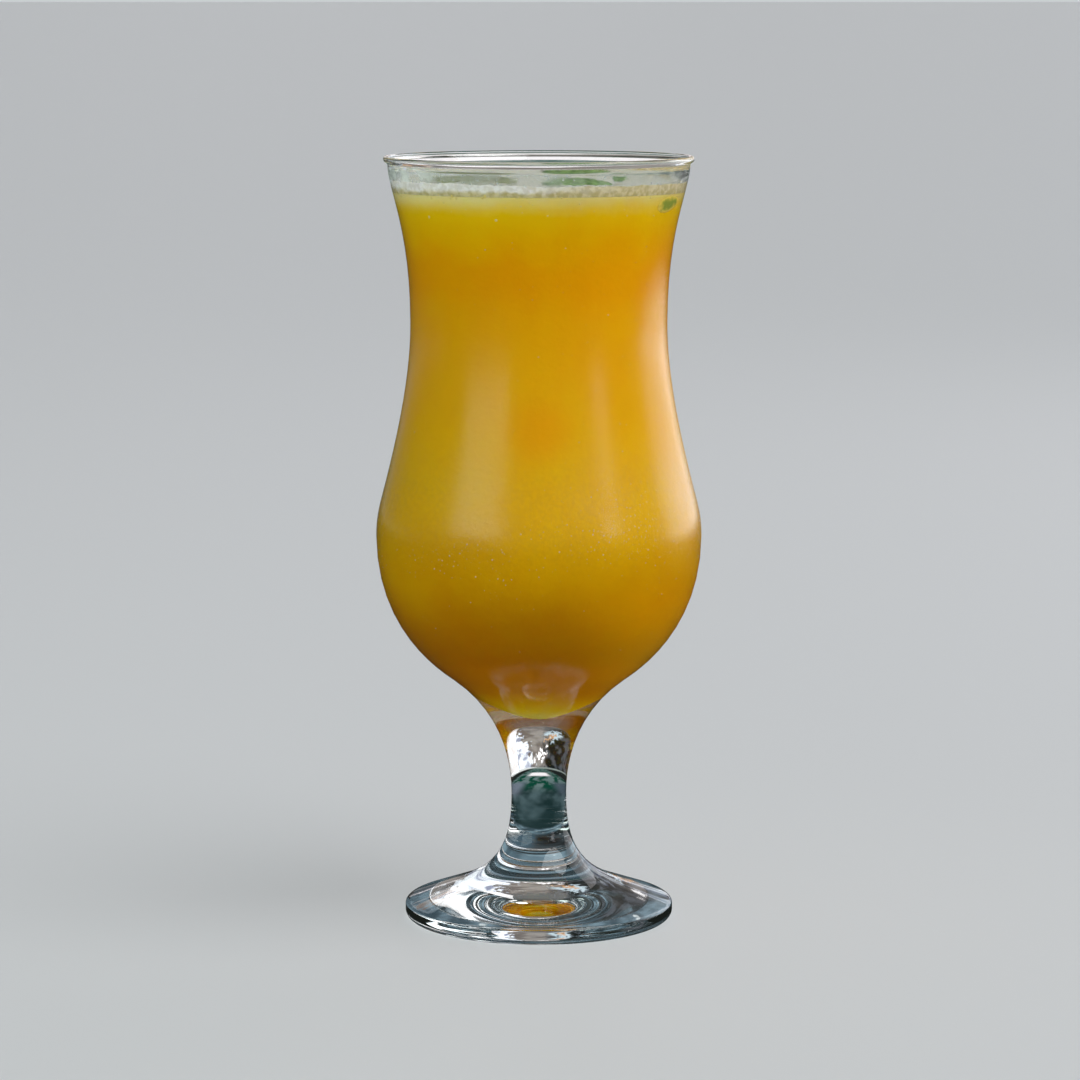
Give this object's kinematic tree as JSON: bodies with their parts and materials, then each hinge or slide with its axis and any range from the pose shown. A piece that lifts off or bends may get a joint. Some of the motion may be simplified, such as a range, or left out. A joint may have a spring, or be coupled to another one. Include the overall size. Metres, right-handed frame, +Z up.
{
  "type": "frozen drink",
  "caption": "Frozen orange fruit drink with a thin froth and mint leaves, in a short-stemmed curved cocktail glass.",
  "frame": {"origin": "middle of the ring on which the foot stands", "axes": "+Z up along the axis of the glass, -Y towards the side that the picture shows, +X to its right"},
  "size_m": [0.0848, 0.0848, 0.2],
  "materials": {
    "clear_glass": "clear pressed soda-lime glass, fire-polished, misted with fine condensation where the drink chills it",
    "frozen_drink": "cloudy golden orange slush, paler under the froth and deep amber at the bottom",
    "white_froth": "fine white to cream foam, thicker at the left wall",
    "mint_leaf": "bright green mint leaf with sunk veins and a toothed edge",
    "wet_mint_leaf": "duller olive mint leaf, wet and half veiled by froth"
  },
  "bodies": {
    "root": {"glass": "clear_glass", "drink": "frozen_drink", "froth": "white_froth", "mint_leaf_arched": "mint_leaf", "mint_leaf_flat": "wet_mint_leaf", "mint_scrap": "mint_leaf"}
  },
  "joints": []
}
